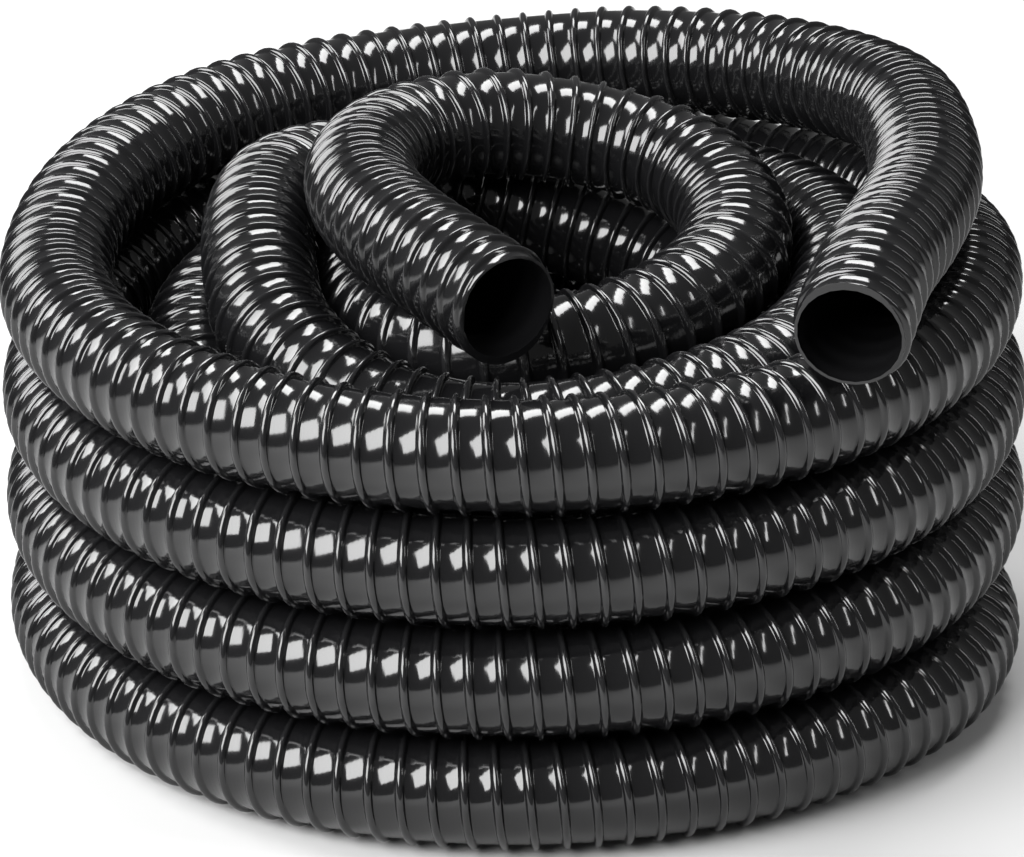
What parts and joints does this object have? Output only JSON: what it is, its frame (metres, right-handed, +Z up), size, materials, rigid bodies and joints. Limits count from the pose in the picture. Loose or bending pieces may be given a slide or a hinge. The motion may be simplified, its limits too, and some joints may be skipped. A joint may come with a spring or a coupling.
{
  "type": "suction hose",
  "caption": "Coil of ribbed black PVC suction hose, wound flat on the floor, with both square-cut ends open and lying on top.",
  "frame": {"origin": "on the floor, under the middle of the coil's outline", "axes": "+X to the right and +Y to the back as seen in the picture, +Z up along the coil's winding axis"},
  "size_m": [0.4678, 0.4696, 0.2651],
  "materials": {
    "pvc": "gloss"
  },
  "bodies": {
    "root": {"hose": "pvc"}
  },
  "joints": []
}
